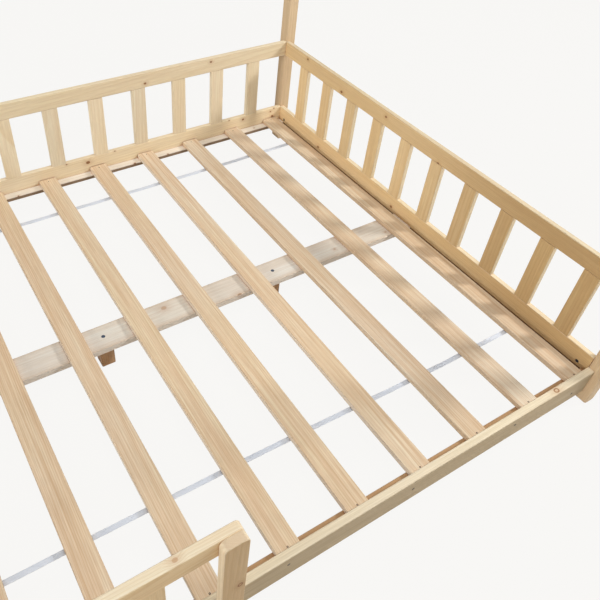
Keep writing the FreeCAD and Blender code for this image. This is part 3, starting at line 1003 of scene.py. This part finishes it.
# How far each strap strays from its line, in millimetres, at places along X.
FRONT_STRAP_DRIFT = (
    (-950, 10.0),
    (-335, 9.8),
    (-161, 8.3),
    (12, 6.3),
    (186, 3.8),
    (360, -1.0),
    (533, -6.7),
    (707, -10.4),
    (961, -11.0),
)
BACK_STRAP_DRIFT = ((-950, 1.0), (12, 0.6), (533, 0.2), (707, 1.3), (961, 7.0))


def drift_at(table, x):
    """The strap's sideways drift at x, straight between the table's places."""
    if x <= table[0][0]:
        return table[0][1]
    for (x0, d0), (x1, d1) in zip(table, table[1:]):
        if x <= x1:
            return d0 + (d1 - d0) * (x - x0) / (x1 - x0)
    return table[-1][1]


def strap_stations(low_x, high_x):
    """Places along X, each with how far the strap sags there."""
    middles = sorted(slat_middles())
    half = (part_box("slat_01")[1][0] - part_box("slat_01")[0][0]) / 2
    stations = []
    for i, middle in enumerate(middles):
        stations += [(middle - half, 0.0), (middle, 0.0), (middle + half, 0.0)]
        if i + 1 < len(middles):
            start, end = middle + half, middles[i + 1] - half
            for k in range(1, SAG_STEPS):
                f = k / SAG_STEPS
                stations.append((start + (end - start) * f, STRAP_SAG * 4 * f * (1 - f)))
    first, last = low_x + STRAP_END_MARGIN, high_x - STRAP_END_MARGIN
    return [(low_x, 0.0)] + [(x, sag) for x, sag in stations if first < x < last] + [(high_x, 0.0)]


def strap(name, node_name, material, drift, width):
    """Webbing pulled taut under the slats. It sags a little between them, and strays by drift."""
    low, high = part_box(node_name)
    top = high[2] - STRAP_CLEARANCE
    y_middle = (low[1] + high[1]) / 2
    bm = bmesh.new()
    loops = []
    for x, sag in strap_stations(low[0], high[0]):
        y = y_middle + drift_at(drift, x / MM) * MM
        upper = [(width * u, STRAP_THICK * down) for u, down in STRAP_PROFILE]
        lower = [(width * u, STRAP_THICK * (1 - down)) for u, down in reversed(STRAP_PROFILE)]
        loops.append([bm.verts.new((x, y + across, top - sag - drop)) for across, drop in upper + lower])
    for a, b in zip(loops, loops[1:]):
        join_rings(bm, a, b)
    bm.faces.new(loops[0])
    bm.faces.new(list(reversed(loops[-1])))
    mesh = finished_mesh(bm, name)
    for face in mesh.polygons:
        face.use_smooth = True
    obj = new_object(name, mesh, material)
    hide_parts(node_name)
    return obj


# Screw heads: radii in metres, and places in millimetres.
SLAT_FRONT_SCREW, SLAT_BACK_SCREW, RAIL_SCREW = 0.0022, 0.0018, 0.0038
FRONT_SCREW_INSET = 2.8
BACK_SCREW_Y = 684.0
# Along X, and up from the floor.
RAIL_SCREW_PLACES = (
    (-850, 78),
    (-560, 76),
    (-250, 80),
    (88.7, 83.4),
    (415, 77.3),
    (732, 85.4),
    (950, 62),
)


def make_details(dark_steel):
    """The pieces that only the scene has: screw heads and webbing."""
    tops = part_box("slat_01")[1][2] / MM
    middles = [x / MM for x in slat_middles()]
    front_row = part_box("slat_01")[0][1] / MM + FRONT_SCREW_INSET
    front_places = [(x, front_row, tops) for x in middles]
    screws("slat_screws_front", front_places, (0, 0, 1), dark_steel, SLAT_FRONT_SCREW)
    back_places = [(x, BACK_SCREW_Y, tops) for x in middles]
    screws("slat_screws_back", back_places, (0, 0, 1), dark_steel, SLAT_BACK_SCREW)
    rail_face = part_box("front_low_rail")[0][1] / MM
    rail_places = [(x, rail_face, z) for x, z in RAIL_SCREW_PLACES]
    screws("front_rail_screws", rail_places, TO_FRONT, dark_steel, RAIL_SCREW)
    web = webbing("webbing")
    strap("webbing_back", "strap_back", web, BACK_STRAP_DRIFT, BACK_STRAP_WIDTH)
    strap("webbing_front", "strap_front", web, FRONT_STRAP_DRIFT, FRONT_STRAP_WIDTH)


# ---------------------------------------------------------------- floor, world, light

# FLOOR_COLOUR is what the camera sees of the floor and the world, and FLOOR_PAPER catches shadows.
FLOOR_COLOUR = (248, 247, 245)
FLOOR_PAPER = (236, 234, 230)
FLOOR_HALF = 24.0
FLOOR_DROP = 0.0005
SEEN_SHARE = 0.98


def make_floor():
    mesh = bpy.data.meshes.new("floor")
    corners = [(x * FLOOR_HALF, y * FLOOR_HALF, 0) for x, y in ((-1, -1), (1, -1), (1, 1), (-1, 1))]
    mesh.from_pydata(corners, [], [(0, 1, 2, 3)])
    floor = bpy.data.objects.new("floor", mesh)
    bpy.context.collection.objects.link(floor)
    floor.location.z = -FLOOR_DROP
    material, t, shader = new_material("floor_paper")
    shader.inputs["Base Color"].default_value = linear(FLOOR_PAPER)
    shader.inputs["Roughness"].default_value = 0.9
    shader.inputs["Specular IOR Level"].default_value = 0.1
    glow = t.node("ShaderNodeEmission")
    glow.inputs["Color"].default_value = linear(FLOOR_COLOUR)
    glow.inputs["Strength"].default_value = 1.0
    mixer = t.node("ShaderNodeMixShader")
    t.put(mixer.inputs[0], t.times(t.seen_directly(), SEEN_SHARE))
    t.put(mixer.inputs[1], shader.outputs[0])
    t.put(mixer.inputs[2], glow.outputs[0])
    output = material.node_tree.nodes["Material Output"]
    t.put(output.inputs["Surface"], mixer.outputs[0])
    mesh.materials.append(material)


WORLD_LIGHT = 0.27

# Name, place, aim, side of the square lamp, and power in watts. All stand well outside the bed.
BED_AIM = (0.3, 0.1, 0.1)
LAMPS = (
    ("key", (3.5, -1.6, 2.4), BED_AIM, 0.6, 94.0),
    ("over", (0.1, -0.8, 5.2), (0.1, 0.1, 0.1), 2.2, 108.0),
    ("left", (-8.3, -1.2, 2.5), BED_AIM, 3.0, 370.0),
)


def make_world():
    world = bpy.data.worlds.new("world")
    bpy.context.scene.world = world
    world.use_nodes = True
    t = Tree(world.node_tree)
    back = world.node_tree.nodes["Background"]
    light = (WORLD_LIGHT, WORLD_LIGHT, WORLD_LIGHT, 1.0)
    t.put(back.inputs["Color"], t.mix(t.seen_directly(), light, linear(FLOOR_COLOUR)))
    back.inputs["Strength"].default_value = 1.0


def make_lights():
    for name, place, aim, size, power in LAMPS:
        data = bpy.data.lights.new(name, "AREA")
        data.shape = "RECTANGLE"
        data.size = data.size_y = size
        data.energy = power
        light = bpy.data.objects.new(name, data)
        bpy.context.collection.objects.link(light)
        light.location = place
        light.rotation_euler = (Vector(aim) - Vector(place)).to_track_quat("-Z", "Y").to_euler()


make_camera()
make_pine_group()
make_details(dress_all())
make_floor()
make_world()
make_lights()
bpy.context.scene.view_settings.view_transform = "Standard"
